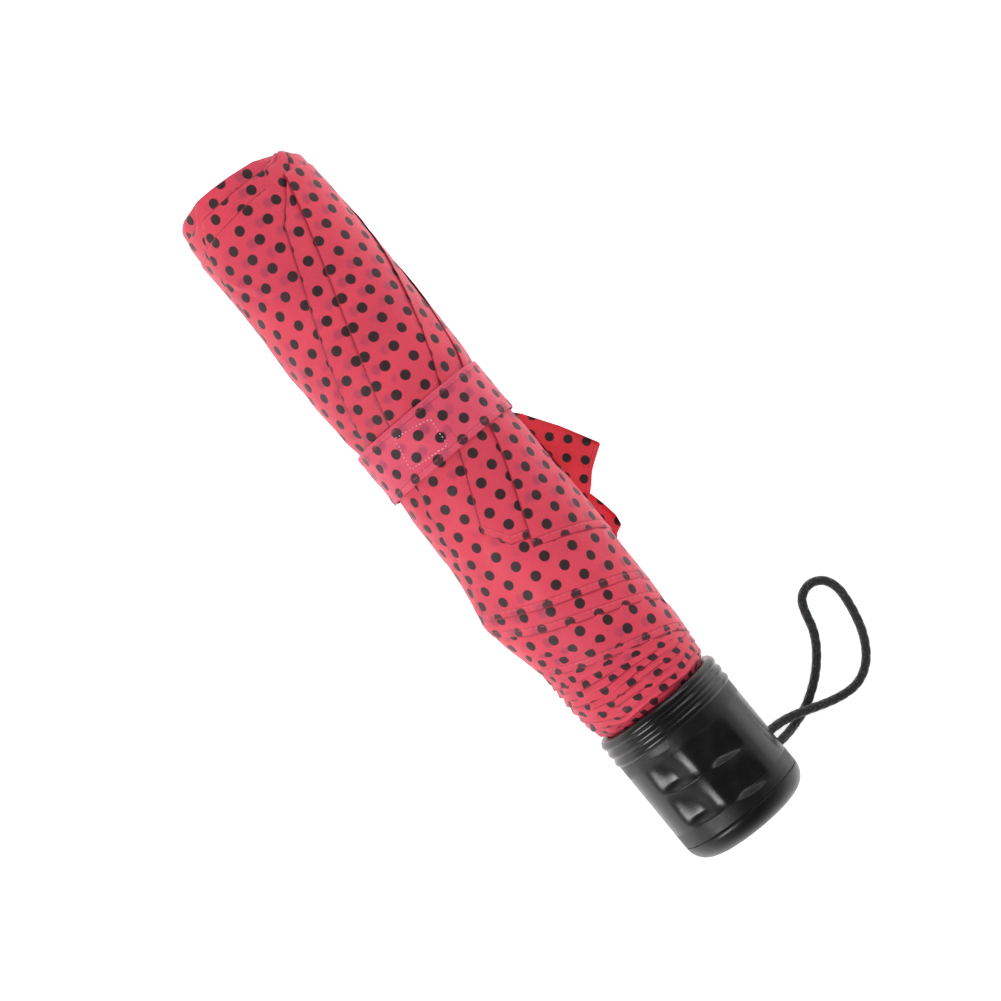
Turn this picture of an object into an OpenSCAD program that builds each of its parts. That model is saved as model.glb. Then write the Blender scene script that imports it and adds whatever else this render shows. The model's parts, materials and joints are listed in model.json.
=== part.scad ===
// Children's folding umbrella, furled and lying on its side.
// +Y runs from the handle to the top, +Z is up, and the origin lies under the middle of the furled umbrella.
// Every part is first drawn on the shaft's own axis: z there is the distance from the handle's end,
// x is the way out along a rib, and -y is up. The module lie() then lays it down.

/* [Handle] */
// Radius of the grip's wall
grip_r = 20.9; // [20.7:0.1:21]
// Length of the grip with its end cap
grip_l = 47.2; // [46.8:0.1:47.6]
// Height of the rounded end cap
cap_l = 6.8; // [6.4:0.1:7]
// Wall thickness of the cup
grip_wall = 2.7; // [2.5:0.1:2.7]
// Depth of the finger dimples
dimple_depth = 1.6; // [1:0.1:1.8]

/* [Shaft] */
// Outer radius of the lower tube
lower_r = 4.8; // [4.7:0.05:4.8]
// Outer radius of the middle tube
middle_r = 3.9; // [3.8:0.05:3.9]
// Outer radius of the upper tube
upper_r = 3; // [2.95:0.05:3]
// Wall of the lower and the middle tube
tube_wall = 0.65; // [0.6:0.05:0.65]

/* [Frame] */
// Length of the upper part of a top rib, and of a stretcher
arm_l = 85; // [84.5:0.1:85]
// Radius of the wire ring that the ribs hang on
notch_wire_r = 6.5; // [6.4:0.05:6.5]
// Height of that ring above the handle's end
notch_s = 228; // [228:0.1:228.4]

/* [Cloth] */
// Height of the furled cloth's top above the handle's end
top_s = 245; // [245:0.1:246]
// Width of the tie strap
strap_w = 17.6; // [16:0.1:18]
// Where the tie strap starts, above the handle's end
strap_s = 141; // [140.5:0.1:142]

/* [Cord] */
// Radius of the wrist cord
cord_r = 1.4; // [1.3:0.05:1.4]

/* [Hidden] */
$fn = 48;

// How the umbrella lies: half its length, its axis height and its offset from the origin
half_l = top_s / 2;
bead_r = grip_r + 0.5;
shaft_h = bead_r;
left_reach = 26.3;
right_reach = 36.8;
shaft_x = (left_reach - right_reach) / 2;

// Shaft: inner radii, ends and the places of its spring catches
lower_bore = lower_r - tube_wall;
middle_bore = middle_r - tube_wall;
upper_bore = upper_r - 0.4;
middle_button_s = 21;
upper_button_s = 31;
tube_travel = 150;
catch_s = middle_button_s + tube_travel;
catch_head_l = 4;
button_head_l = 2.2;
button_r = 1.1;
button_hole_r = 1.2;

// Handle: cup floor, socket for the lower tube, cord holes and dimples
cup_floor_s = 30;
web_t = 4;
cup_r = grip_r - grip_wall;
socket_r = 7.5;
pin_s = 11;
pin_r = 1;
cord_hole_s = [16, 11.5];
cord_hole_tilt = 30;
knot_rho = 12.6;
dimple_r = 16;
dimple_count = 8;
dimple_rows = [14, 27];
bead_rows = [45.4, 42.3, 39.2];

// Frame joints in a rib's own plane: [way out from the axis, height above the handle's end]
rib_count = 8;
rib_step = 360 / rib_count;
hinge_n = [notch_wire_r, notch_s];
hinge_p = [notch_wire_r, notch_s - arm_l];
hinge_r = [notch_wire_r, notch_s - 2 * arm_l];
hinge_t = [7.9, 101.5];
hinge_e = [10.7, 240];
rib_half = 0.9;
fork_in = 1.05;
fork_out = 1.45;
plate_in = 1.65;
plate_out = 2.05;
tongue_half = 1;
fork_root_s = 94;
hinge_pin_r = 0.4;
hinge_gap = 0.05;
wire_rho = 12.1;
wire_r = 0.7;
tip_s = 50.5;

// Cloth: radii of the furled bundle at heights above the handle's end
strap_t = 0.5;
strap_r = 22.7;
tab_gap = 0.25;
cloth_r = [[44.5, 16.8], [47.2, 17.6], [48.4, 20], [54, 21], [75, 21.6], [95, 22.3],
    [strap_s - 1.2, 22.5], [strap_s - 0.6, 21.9], [strap_s + strap_w + 0.6, 21.9],
    [strap_s + strap_w + 1.2, 22.9], [175, 23.2], [225, 23], [238, 22.4], [243, 20.6], [top_s, 17]];
cloth_rows = [44.5, 47.2, 48.4, 54, 64, 75, 82, 88, 94, 100, 108, 118, strap_s - 1.2, strap_s - 0.6,
    strap_s + strap_w + 0.6, strap_s + strap_w + 1.2, 175, 200, 225, 238, 243, top_s];
cavity_r = 13.8;
cavity_top = 242.2;
recess_r = 8.6;
cloth_sides = 32;

// Route of the wrist cord: [out from the axis, above the handle's end, height over the table]
cord_route = [[18.2, 16, 11], [21.6, 16, 9], [25.5, 15.5, 7.1], [29.5, 14.5, 5.8], [33.5, 13.1, 4.9],
    [37.5, 11.5, 3.7], [41.6, 10, 2.2], [45.8, 9, 1.5], [50, 8.8, 1.5], [54, 10, 1.5],
    [57.6, 12.6, 1.5], [60.4, 16.2, 1.5], [62.6, 20.6, 1.5], [64, 25.4, 1.5], [64.9, 30.4, 1.5],
    [65.2, 35.4, 1.5], [63.4, 40, 1.5], [59, 42, 1.5], [54.6, 40.2, 1.5], [52.6, 35.8, 1.5],
    [51.4, 31, 1.5], [49.2, 26.6, 1.5], [46, 22.4, 1.5], [42.2, 18.7, 1.5], [37.8, 15.5, 1.5],
    [33.6, 13.2, 1.5], [29.4, 12, 3], [25.4, 11.5, 6.1], [21.6, 11.5, 9], [18.2, 11.5, 11]];
cord_sides = 8;

// ---------- placing ----------

// Lays a part that was drawn on the shaft's axis down in the row frame
module lie() {
    translate([shaft_x, -half_l, shaft_h]) rotate([-90, 0, 0]) children();
}

// Turns a part that was drawn in the plane of rib 1 into the plane of rib i
module in_rib_plane(i) {
    lie() rotate([0, 0, -rib_step * (i - 0.5)]) children();
}

// A round bar across the rib's plane at the hinge point p
module cross_bar(p, r, half) {
    translate([p[0], 0, p[1]]) rotate([90, 0, 0]) cylinder(r = r, h = 2 * half, center = true);
}

// A plate in the rib's plane from its outline, across the plane from -half to +half
module slab(half) {
    rotate([90, 0, 0]) linear_extrude(2 * half, center = true) children();
}

// A pair of plates in the rib's plane, each from t0 to t1 off the middle
module plate_pair(t0, t1) {
    for (side = [-1, 1])
        translate([0, side * (t0 + t1) / 2, 0]) slab((t1 - t0) / 2) children();
}

module ring(r_out, r_in, s0, s1) {
    translate([0, 0, s0]) difference() {
        cylinder(r = r_out, h = s1 - s0);
        translate([0, 0, -1]) cylinder(r = r_in, h = s1 - s0 + 2);
    }
}

// A bore across one side of a tube, at height s and angle a
module side_hole(s, a, r) {
    translate([0, 0, s]) rotate([0, 0, a]) rotate([0, 90, 0]) cylinder(r = r, h = 8);
}

// ---------- handle ----------

module handle_grip() {
    color("#232224") lie() difference() {
        union() {
            translate([0, 0, cap_l]) cylinder(r = grip_r, h = grip_l - cap_l, $fn = 96);
            for (s = bead_rows)
                rotate_extrude($fn = 96) translate([bead_r - 1.5, s]) circle(r = 1.5);
        }
        translate([0, 0, cup_floor_s]) cylinder(r = cup_r, h = grip_l);
        ring(cup_r, socket_r, cap_l - 1, cup_floor_s - web_t);
        cylinder(r = lower_r + 0.02, h = grip_l);
        for (s = cord_hole_s)
            translate([0, 0, s]) rotate([0, 0, cord_hole_tilt]) rotate([0, 90, 0])
                translate([0, 0, 10]) cylinder(r = cord_r + 0.25, h = grip_r);
        cross_bar([0, pin_s], pin_r + 0.02, socket_r + 1);
        for (s = dimple_rows, k = [0:dimple_count - 1])
            rotate([0, 0, k * 360 / dimple_count + rib_step / 2])
                translate([grip_r + dimple_r - dimple_depth, 0, s]) sphere(r = dimple_r);
    }
}

module handle_end_cap() {
    bend = cap_l - 0.1;
    color("#1e1d1f") lie() rotate_extrude($fn = 96) union() {
        difference() {
            union() {
                square([grip_r - bend, cap_l]);
                translate([grip_r - bend, bend]) intersection() {
                    circle(r = bend);
                    translate([0, -bend]) square(bend);
                }
                translate([grip_r - bend, bend]) square([bend, cap_l - bend]);
            }
            translate([0, 3]) square([grip_r - bend, cap_l]);
        }
        translate([cup_r - 1.7, cap_l - 1]) square([1.6, 4]);
    }
}

module handle_pin() {
    color("#b9bcc0") lie() cross_bar([0, pin_s], pin_r, socket_r);
}

// ---------- telescopic shaft ----------

module lower_tube() {
    color("#c3c5c9") lie() difference() {
        ring(lower_r, lower_bore, cap_l + 0.2, 205);
        side_hole(middle_button_s, 0, button_hole_r);
        side_hole(catch_s, 0, button_hole_r);
        cross_bar([0, pin_s], pin_r + 0.02, socket_r);
    }
}

module middle_tube() {
    color("#cfd1d4") lie() difference() {
        ring(middle_r, middle_bore, 14, 212);
        side_hole(middle_button_s, 0, button_hole_r);
        side_hole(catch_s, 0, button_hole_r);
        side_hole(upper_button_s, 180, button_hole_r);
        side_hole(upper_button_s + tube_travel, 180, button_hole_r);
    }
}

module upper_tube() {
    color("#d8dadd") lie() difference() {
        ring(upper_r, upper_bore, 26, 232);
        side_hole(catch_s, 0, button_hole_r);
        side_hole(upper_button_s, 180, button_hole_r);
    }
}

// A catch: a round head and the leaf spring that carries it, out to radius reach at angle a
module spring_catch(s, a, reach, head_l, leaf_l) {
    translate([0, 0, s]) rotate([0, 0, a]) {
        rotate([0, 90, 0]) translate([0, 0, reach - head_l]) cylinder(r = button_r, h = head_l, $fn = 24);
        translate([reach - head_l - 0.2, -0.8, min(0, leaf_l)]) cube([0.3, 1.6, abs(leaf_l)]);
    }
}

module middle_tube_button() {
    color("#9ea1a6") lie() spring_catch(middle_button_s, 0, middle_r, button_head_l, 4.5);
}

module upper_tube_button() {
    color("#9ea1a6") lie() spring_catch(upper_button_s, 180, upper_r, button_head_l, 12);
}

module runner_catch() {
    color("#9ea1a6") lie() spring_catch(catch_s, 0, upper_r, catch_head_l, -12);
}

// ---------- runner and top notch ----------

module runner() {
    bore = lower_r + 0.15;
    sleeve = 5.45;
    color("#2a292b") lie() difference() {
        union() {
            translate([0, 0, 38]) cylinder(r = sleeve, h = 25);
            translate([0, 0, 38]) cylinder(r = 8.3, h = 3);
            translate([0, 0, 54]) cylinder(r = 8.3, h = 7);
        }
        translate([0, 0, 37]) cylinder(r = bore, h = 27);
        for (i = [1:rib_count])
            rotate([0, 0, rib_step * (i - 0.5)]) translate([sleeve + 0.05, -1.2, 37]) cube([5, 2.4, 27]);
    }
}

module top_notch() {
    color("#2a292b") lie() difference() {
        translate([0, 0, 222]) cylinder(r = 8, h = 11);
        translate([0, 0, 221]) cylinder(r = upper_r + 0.02, h = 13);
        for (i = [1:rib_count])
            rotate([0, 0, rib_step * (i - 0.5)]) translate([5, -1.1, 221]) cube([5, 2.2, 9.4]);
        translate([0, 0, notch_s]) rotate_extrude() translate([notch_wire_r, 0]) circle(r = 0.52, $fn = 24);
    }
}

module notch_wire() {
    color("#b9bcc0") lie() translate([0, 0, notch_s])
        rotate_extrude() translate([notch_wire_r, 0]) circle(r = 0.5, $fn = 24);
}

module ferrule_cap() {
    color("#2a292b") lie() translate([0, 0, 233]) rotate_extrude() difference() {
        union() {
            square([7.6, 2.2]);
            translate([0, 2.2]) intersection() {
                circle(r = 5);
                square(5);
            }
        }
        translate([0, -1]) square([upper_r, 0.8]);
    }
}

// ---------- ribs, in their own planes ----------

module top_rib(i) {
    color("#8e9196") in_rib_plane(i) difference() {
        union() {
            slab(rib_half) {
                translate(hinge_n) circle(r = 1.3, $fn = 24);
                polygon([[5.6, hinge_n[1]], [7.4, hinge_n[1]], [7.4, 106], [hinge_t[0] + 0.2, 104.2],
                    [hinge_t[0] + 0.9, hinge_t[1]], [hinge_t[0] - 0.9, hinge_t[1]], [5.6, 105.4]]);
                translate(hinge_t) circle(r = 1.1, $fn = 24);
            }
            cross_bar(hinge_p, hinge_pin_r, plate_out + 0.15, $fn = 24);
            cross_bar(hinge_t, hinge_pin_r, fork_out + 0.1, $fn = 24);
        }
        cross_bar(hinge_n, 0.75, 2, $fn = 24);
    }
}

module stretcher(i) {
    color("#a6a9ae") in_rib_plane(i) difference() {
        union() {
            plate_pair(plate_in, plate_out) {
                translate(hinge_p) circle(r = 1.2, $fn = 24);
                polygon([[5.8, hinge_p[1]], [7.2, hinge_p[1]], [7.2, fork_root_s], [5.8, fork_root_s]]);
            }
            slab(plate_out)
                polygon([[5.8, fork_root_s], [7.2, fork_root_s], [7.2, fork_root_s + 3], [5.8, fork_root_s + 3]]);
            slab(tongue_half) {
                translate(hinge_r) circle(r = 0.9, $fn = 24);
                polygon([[5.8, hinge_r[1]], [7.2, hinge_r[1]], [7.2, fork_root_s + 1], [5.8, fork_root_s + 1]]);
            }
        }
        cross_bar(hinge_p, hinge_pin_r + hinge_gap, 3, $fn = 24);
        cross_bar(hinge_r, 0.4, 3, $fn = 24);
    }
}

module middle_rib(i) {
    root = 8.3;
    back = 10.3;
    color("#8e9196") in_rib_plane(i) {
        difference() {
            union() {
                slab(fork_out) polygon([[root, 104.8], [back, 104.8], [back, 236.6], [root, 236.6]]);
                plate_pair(fork_in, fork_out) {
                    translate(hinge_t) circle(r = 1.2, $fn = 24);
                    polygon([[hinge_t[0] - 1.1, hinge_t[1] + 0.4], [root, 106], [back, 106],
                        [hinge_t[0] + 1.2, hinge_t[1]]]);
                    translate(hinge_e) circle(r = 1.2, $fn = 24);
                    polygon([[root, 235], [back, 235], [hinge_e[0] + 1.2, hinge_e[1]],
                        [hinge_e[0] - 1.2, hinge_e[1]]]);
                }
            }
            translate([9, -0.85, 106.5]) cube([3, 1.7, 128.5]);
            cross_bar(hinge_t, hinge_pin_r + hinge_gap, 3, $fn = 24);
            cross_bar(hinge_e, hinge_pin_r + hinge_gap, 3, $fn = 24);
        }
        translate([9.32, 0, 108]) cylinder(r = 0.3, h = 125, $fn = 16);
    }
}

module outer_rib(i) {
    color("#b4b7bb") in_rib_plane(i) {
        slab(rib_half) {
            translate(hinge_e) circle(r = 1, $fn = 24);
            polygon([[hinge_e[0], hinge_e[1] + 1], [12.9, 240.6], [12.9, 236.4], [11.5, 236.4],
                [11.4, 239], [hinge_e[0], hinge_e[1] - 1]]);
        }
        cross_bar(hinge_e, hinge_pin_r, fork_out + 0.15, $fn = 24);
        translate([wire_rho, 0, tip_s]) cylinder(r = wire_r, h = 237 - tip_s, $fn = 24);
        translate([wire_rho, 0, tip_s]) sphere(r = 1.2, $fn = 24);
    }
}

// A fold of cloth that lies beside rib 1, from rho0 to rho1 out and from s0 to s1 up
module pleat(side, rho0, rho1, s0, s1) {
    color("#c23a55") in_rib_plane(1)
        translate([rho0, side > 0 ? 2.4 : -2.9, s0]) cube([rho1 - rho0, 0.5, s1 - s0]);
}

module top_pleat(side) { pleat(side, 8.8, 10.2, 108, 220); }
module middle_pleat(side) { pleat(side, 10.6, 11.8, 108, 236); }
module outer_pleat(side) { pleat(side, 12.2, 13.2, 54, 236); }

// ---------- furled cloth ----------

// Extra reach of the folded gore corner that lies on the left side
function corner_bulge(s, a) = 3.9 * exp(-pow((s - 94) / 15, 2)) * exp(-pow((a - 180) / 26, 2));

// How far down the cloth may hang below the axis at height s: it lies flat on the table, over the strap
function cloth_floor(s) = s > strap_s - 1 && s < strap_s + strap_w + 1 ? shaft_h - strap_t - 0.3 : shaft_h;

function cloth_ring(s) = [for (k = [0:cloth_sides - 1])
    let (a = k * 360 / cloth_sides, r = lookup(s, cloth_r) + corner_bulge(s, a))
    [r * cos(a), min(r * sin(a), cloth_floor(s)), s]];

function round_ring(s, r) = [for (k = [0:cloth_sides - 1])
    [r * cos(k * 360 / cloth_sides), r * sin(k * 360 / cloth_sides), s]];

// Joins rings of n points into a closed skin; the last ring joins back to the first
module ring_skin(rings, n) {
    count = len(rings);
    polyhedron(points = [for (row = rings) each row],
        faces = [for (j = [0:count - 1], k = [0:n - 1])
            let (j2 = (j + 1) % count, k2 = (k + 1) % n,
                a = j * n + k, b = j * n + k2, c = j2 * n + k2, d = j2 * n + k)
            each [[a, c, b], [a, d, c]]],
        convexity = 6);
}

module canopy() {
    rings = concat([for (s = cloth_rows) cloth_ring(s)],
        [round_ring(top_s, recess_r), round_ring(cavity_top, recess_r),
         round_ring(cavity_top - 0.01, cavity_r), round_ring(44.5, cavity_r)]);
    color("#e0486a") lie() ring_skin(rings, cloth_sides);
}

// Two corners of the cloth that stick out of the bundle on the right
module loose_corners() {
    color("#c01f3c") lie() {
        translate([0, 9.2, 0]) rotate([90, 0, 0]) linear_extrude(1.6, center = true)
            polygon([[21.4, 140.5], [25.4, 137.4], [31.4, 128.4], [right_reach, 117.7],
                [30.4, 113.8], [21.4, 109.8]]);
        translate([0, 6, 0]) rotate([90, 0, 0]) linear_extrude(1.4, center = true)
            polygon([[22.6, 97], [24.6, 92], [22.4, 87.4]]);
    }
}

// Outline of a band round the bundle, flat where it lies on the table
module band_outline(r) {
    intersection() {
        circle(r = r, $fn = 96);
        translate([-40, -40]) square([80, 40 + shaft_h - (strap_r - r)]);
    }
}

module tie_strap() {
    color("#e4627f") lie() translate([0, 0, strap_s]) linear_extrude(strap_w) difference() {
        band_outline(strap_r);
        band_outline(strap_r - strap_t);
    }
}

// The strap's free end, which overlaps the strap from the top to just past the left side
module strap_tab() {
    r_in = strap_r + tab_gap;
    color("#e4627f") lie() translate([0, 0, strap_s]) rotate([0, 0, 172]) rotate_extrude(angle = 108, $fn = 96)
        translate([r_in, 0]) square([strap_t, strap_w]);
}

// ---------- wrist cord ----------

function cord_point(c) = [shaft_x + c[0], c[1] - half_l, c[2]];
function unit(v) = v / norm(v);

// A ring of points round the route's point k, square to the route there
function cord_ring(route, k) =
    let (last = len(route) - 1,
        along = unit(route[min(k + 1, last)] - route[max(k - 1, 0)]),
        side = unit(cross(along, [0, 0, 1])),
        up = cross(side, along))
    [for (j = [0:cord_sides - 1]) let (a = (j + 0.5) * 360 / cord_sides)
        route[k] + cord_r * (cos(a) * side + sin(a) * up)];

module wrist_cord() {
    route = [for (c = cord_route) cord_point(c)];
    n = cord_sides;
    last = len(route) - 1;
    color("#19181a") polyhedron(
        points = [for (k = [0:last]) each cord_ring(route, k)],
        faces = concat(
            [for (k = [0:last - 1], j = [0:n - 1])
                let (j2 = (j + 1) % n, a = k * n + j, b = k * n + j2, c = (k + 1) * n + j2, d = (k + 1) * n + j)
                each [[a, b, c], [a, c, d]]],
            [[for (j = [n - 1:-1:0]) j], [for (j = [0:n - 1]) last * n + j]]),
        convexity = 8);
}

// The knot that stops both ends of the cord inside the handle, with the ends up to the wall
module cord_knot() {
    color("#19181a") lie() rotate([0, 0, cord_hole_tilt]) {
        translate([knot_rho, 0, (cord_hole_s[0] + cord_hole_s[1]) / 2]) sphere(r = 4.2, $fn = 32);
        for (s = cord_hole_s)
            translate([knot_rho, 0, s]) rotate([0, 90, 0]) cylinder(r = cord_r, h = 20.7 - knot_rho);
    }
}

// ---------- nodes ----------

handle_grip();
handle_end_cap();
handle_pin();
lower_tube();
middle_tube();
upper_tube();
middle_tube_button();
upper_tube_button();
runner_catch();
runner();
top_notch();
notch_wire();
ferrule_cap();
canopy();
loose_corners();
tie_strap();
strap_tab();
wrist_cord();
cord_knot();
for (i = [1:rib_count]) top_rib(i);
for (i = [1:rib_count]) stretcher(i);
for (i = [1:rib_count]) middle_rib(i);
for (i = [1:rib_count]) outer_rib(i);
top_pleat(-1);  // top_pleat_left
top_pleat(1);  // top_pleat_right
middle_pleat(-1);  // middle_pleat_left
middle_pleat(1);  // middle_pleat_right
outer_pleat(-1);  // outer_pleat_left
outer_pleat(1);  // outer_pleat_right
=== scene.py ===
"""A child's folding umbrella, furled: dotted cloth, a tie strap, a dimpled handle and a wrist cord."""
import json
import math

import bpy
import numpy as np
from mathutils import Matrix, Vector


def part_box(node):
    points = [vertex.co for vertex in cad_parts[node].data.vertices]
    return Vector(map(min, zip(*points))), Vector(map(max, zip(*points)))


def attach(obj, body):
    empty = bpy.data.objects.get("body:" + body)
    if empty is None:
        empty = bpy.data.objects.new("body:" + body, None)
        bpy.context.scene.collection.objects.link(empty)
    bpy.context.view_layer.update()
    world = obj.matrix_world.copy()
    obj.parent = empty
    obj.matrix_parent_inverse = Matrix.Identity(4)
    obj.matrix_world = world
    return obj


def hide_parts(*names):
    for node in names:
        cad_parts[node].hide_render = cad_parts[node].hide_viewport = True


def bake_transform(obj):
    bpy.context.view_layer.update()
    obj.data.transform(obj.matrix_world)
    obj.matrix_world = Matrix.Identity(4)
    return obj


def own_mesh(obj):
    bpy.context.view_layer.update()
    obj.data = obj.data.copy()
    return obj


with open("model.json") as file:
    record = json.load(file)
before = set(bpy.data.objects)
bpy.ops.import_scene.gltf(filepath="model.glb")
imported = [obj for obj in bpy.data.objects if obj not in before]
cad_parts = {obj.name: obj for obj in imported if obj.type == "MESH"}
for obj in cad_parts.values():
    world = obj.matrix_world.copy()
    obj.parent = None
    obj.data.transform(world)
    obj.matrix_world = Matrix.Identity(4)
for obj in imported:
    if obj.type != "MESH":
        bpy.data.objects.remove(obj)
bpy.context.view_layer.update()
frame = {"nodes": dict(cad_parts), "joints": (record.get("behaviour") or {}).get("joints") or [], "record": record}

NODES = frame["nodes"]
MM = 0.001

# ---------------------------------------------------------------- the shaft's own coordinates

cap_low, cap_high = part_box("handle_end_cap")
AXIS_X = (cap_low.x + cap_high.x) / 2
AXIS_Z = (cap_low.z + cap_high.z) / 2
END_Y = cap_low.y
GRIP_R = (cap_high.x - cap_low.x) / 2 / MM


def at_shaft(a, rho, s):
    """Points in metres at azimuth a (from +X up to +Z), rho mm off the axis, s mm above the handle's end."""
    a, rho, s = np.broadcast_arrays(a, rho, s)
    x = AXIS_X + MM * rho * np.cos(a)
    z = AXIS_Z + MM * rho * np.sin(a)
    return np.stack([x, END_Y + MM * s, z], -1)


def beside(p, s, z):
    """Points in metres, p mm right of the axis, s mm above the handle's end and z mm over the table."""
    p, s, z = np.broadcast_arrays(p, s, z)
    return np.stack([AXIS_X + MM * p, END_Y + MM * s, MM * z], -1)


def lie_on_table(points, gap=0.02, soft=2.0):
    """Flattens the underside: heights under soft mm are pressed together above gap mm, in order."""
    z = points[..., 2] / MM
    low = gap + (soft - gap) * np.exp(np.minimum(z - soft, 0) / (soft - gap))
    points[..., 2] = MM * np.where(z < soft, low, z)
    return points


def smooth(t):
    t = np.clip(t, 0, 1)
    return t * t * (3 - 2 * t)


def ripples(a, s, seed, count, shortest, longest, steep=0.0):
    """A gentle field of waves about 0 on the bundle's surface, from shortest to longest mm long."""
    rng = np.random.default_rng(seed)
    arc = a * CLOTH_R
    total = np.zeros(np.broadcast(a, s).shape)
    for _ in range(count):
        wave = rng.uniform(shortest, longest)
        turn = rng.uniform(-0.5, 0.5) + steep
        way = arc * math.sin(turn) + s * math.cos(turn)
        total += np.sin(way * 2 * math.pi / wave + rng.uniform(0, 6.28) + 0.6 * np.sin(arc / 9 + s / 23))
    return total / math.sqrt(count)


# ---------------------------------------------------------------- meshes

def make_mesh(name, points, faces, maps=None):
    """A smooth mesh object. maps holds UV maps by name, one pair of numbers in metres for each point."""
    mesh = bpy.data.meshes.new(name)
    mesh.from_pydata(np.asarray(points, float).reshape(-1, 3).tolist(), [], faces)
    corners = np.zeros(len(mesh.loops), np.int32)
    mesh.loops.foreach_get("vertex_index", corners)
    for label, pairs in (maps or {}).items():
        layer = mesh.uv_layers.new(name=label)
        layer.data.foreach_set("uv", np.asarray(pairs, np.float32).reshape(-1, 2)[corners].ravel())
    mesh.polygons.foreach_set("use_smooth", [True] * len(mesh.polygons))
    mesh.update()
    piece = bpy.data.objects.new(name, mesh)
    bpy.context.scene.collection.objects.link(piece)
    return piece


def grid_faces(rows, columns, closed=False, start=0):
    """Quads of a grid of points, joined round from the last column to the first if closed."""
    faces = []
    last = columns if closed else columns - 1
    for i in range(rows - 1):
        for j in range(last):
            k = (j + 1) % columns
            faces.append((start + i * columns + j, start + i * columns + k,
                          start + (i + 1) * columns + k, start + (i + 1) * columns + j))
    return faces


def grid_piece(name, points, maps=None, closed=False):
    rows, columns = points.shape[:2]
    return make_mesh(name, points, grid_faces(rows, columns, closed), maps)


def finish_piece(piece, body, slot_name, material, *nodes):
    """Gives a piece its material and its body, and hides the CAD nodes that it stands for. slot_name is not used.
    """
    piece.data.materials.append(material)
    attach(piece, body)
    if nodes:
        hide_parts(*nodes)
    return piece


# ---------------------------------------------------------------- materials

class Shader:
    """A node material with one Principled shader and short calls for the nodes that feed it."""

    def __init__(self, name, **values):
        self.material = bpy.data.materials.new(name)
        self.material.use_nodes = True
        self.tree = self.material.node_tree
        self.main = self.tree.nodes["Principled BSDF"]
        for socket, value in values.items():
            self.main.inputs[socket.replace("_", " ")].default_value = value

    def node(self, kind, inputs=None, **settings):
        made = self.tree.nodes.new(kind)
        for key, value in settings.items():
            setattr(made, key, value)
        for key, value in (inputs or {}).items():
            self.feed(made.inputs[key], value)
        return made

    def feed(self, socket, value):
        if isinstance(value, bpy.types.NodeSocket):
            self.tree.links.new(value, socket)
        else:
            socket.default_value = value

    def math(self, operation, a, b=0.0, c=0.0):
        return self.node("ShaderNodeMath", {0: a, 1: b, 2: c}, operation=operation).outputs[0]

    def ramp(self, value, low, high, to_low=0.0, to_high=1.0, kind="SMOOTHSTEP"):
        made = self.node("ShaderNodeMapRange", {"Value": value, "From Min": low, "From Max": high,
                                                "To Min": to_low, "To Max": to_high},
                         interpolation_type=kind, clamp=True)
        return made.outputs["Result"]

    def mix(self, share, a, b):
        made = self.node("ShaderNodeMix", data_type="RGBA")
        self.feed(made.inputs["Factor"], share)
        self.feed(made.inputs["A"], a)
        self.feed(made.inputs["B"], b)
        return made.outputs["Result"]

    def noise(self, where, scale, detail=3.0, roughness=0.5):
        return self.node("ShaderNodeTexNoise", {"Vector": where, "Scale": scale, "Detail": detail,
                                                "Roughness": roughness}).outputs["Fac"]

    def object_place(self):
        return self.node("ShaderNodeTexCoord").outputs["Object"]

    def uv(self, label):
        return self.node("ShaderNodeUVMap", uv_map=label).outputs["UV"]

    def bump(self, height, distance, strength=1.0, onto=None):
        inputs = {"Height": height, "Distance": distance, "Strength": strength}
        if onto is not None:
            inputs["Normal"] = onto
        return self.node("ShaderNodeBump", inputs).outputs["Normal"]


DOT_PITCH = 6.4 * MM
DOT_R = 1.6 * MM
HEM_W = 2.4 * MM
STITCH_PITCH = 2.1 * MM
WEAVE_SCALE = 560.0
EDGE_SHADE = (0.34, 0.010, 0.030, 1)
# What UV map hem holds where no fold is near
NO_FOLD = 0.05


def dot_mask(shader, cloth, shift, radius, blur):
    """1 inside the dots of a square lattice that lies at 45 degrees to the middle line of a gore."""
    turned = shader.node("ShaderNodeMapping", {"Vector": cloth, "Location": shift,
                                               "Rotation": (0, 0, math.radians(45)),
                                               "Scale": (1 / DOT_PITCH, 1 / DOT_PITCH, 1)}).outputs[0]
    cells = shader.node("ShaderNodeTexVoronoi", {"Vector": turned, "Scale": 1.0, "Randomness": 0.0},
                        voronoi_dimensions="2D", feature="F1").outputs["Distance"]
    edge = radius / DOT_PITCH
    soft = blur / DOT_PITCH
    return shader.ramp(cells, edge + soft, edge - soft)


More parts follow.
